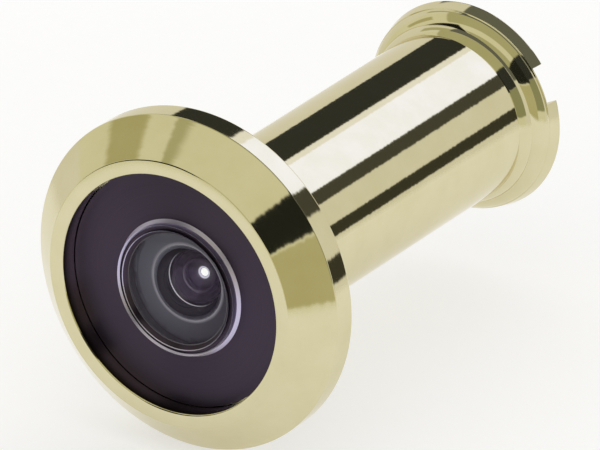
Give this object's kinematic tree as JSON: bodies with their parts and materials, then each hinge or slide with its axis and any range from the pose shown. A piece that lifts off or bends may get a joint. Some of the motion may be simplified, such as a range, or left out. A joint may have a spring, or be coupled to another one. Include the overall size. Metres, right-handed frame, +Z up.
{
  "type": "door peephole",
  "caption": "Wide-angle door viewer: bevelled round front flange with a recessed lens, smooth barrel and a flared rear flange with a coin slot, screwed together through the door.",
  "frame": {"origin": "on the viewer's axis, in the plane of the front flange's back face, where it meets the door's outer face", "axes": "+Y along the axis from the street to the room, +Z up as the viewer sits in a door, +X to the right seen from the street"},
  "size_m": [0.028, 0.0424, 0.028],
  "materials": {
    "lacquered_brass": "polished and clear lacquered",
    "black_disc": "black anodised, turned satin face",
    "bright_ring": "bright turned",
    "lens_glass": "clear polished",
    "blackened": "matt black anodised"
  },
  "bodies": {
    "front_half": {"front_barrel": "lacquered_brass", "face_disc": "black_disc", "front_lens_ring": "bright_ring", "front_lens": "lens_glass", "second_lens": "lens_glass", "lens_spacer": "blackened", "third_lens": "lens_glass", "stack_ring": "blackened"},
    "eye_piece": {"eye_lens": "lens_glass"},
    "rear_half": {"rear_barrel": "lacquered_brass", "field_stop": "blackened", "eye_ring": "blackened"}
  },
  "joints": [
    {"name": "rear_slide", "type": "slide", "parent": "front_half", "child": "eye_piece", "axis": [0, 1, 0], "range_m": [0, 0.02]},
    {"name": "rear_turn", "type": "hinge", "parent": "eye_piece", "child": "rear_half", "pos_m": [0, 0, 0], "axis": [0, 1, 0], "range_deg": [0, 7200]}
  ],
  "couplings": [
    {"joint": "rear_slide", "follows": "rear_turn", "m_per_rad": 0.00015915}
  ]
}
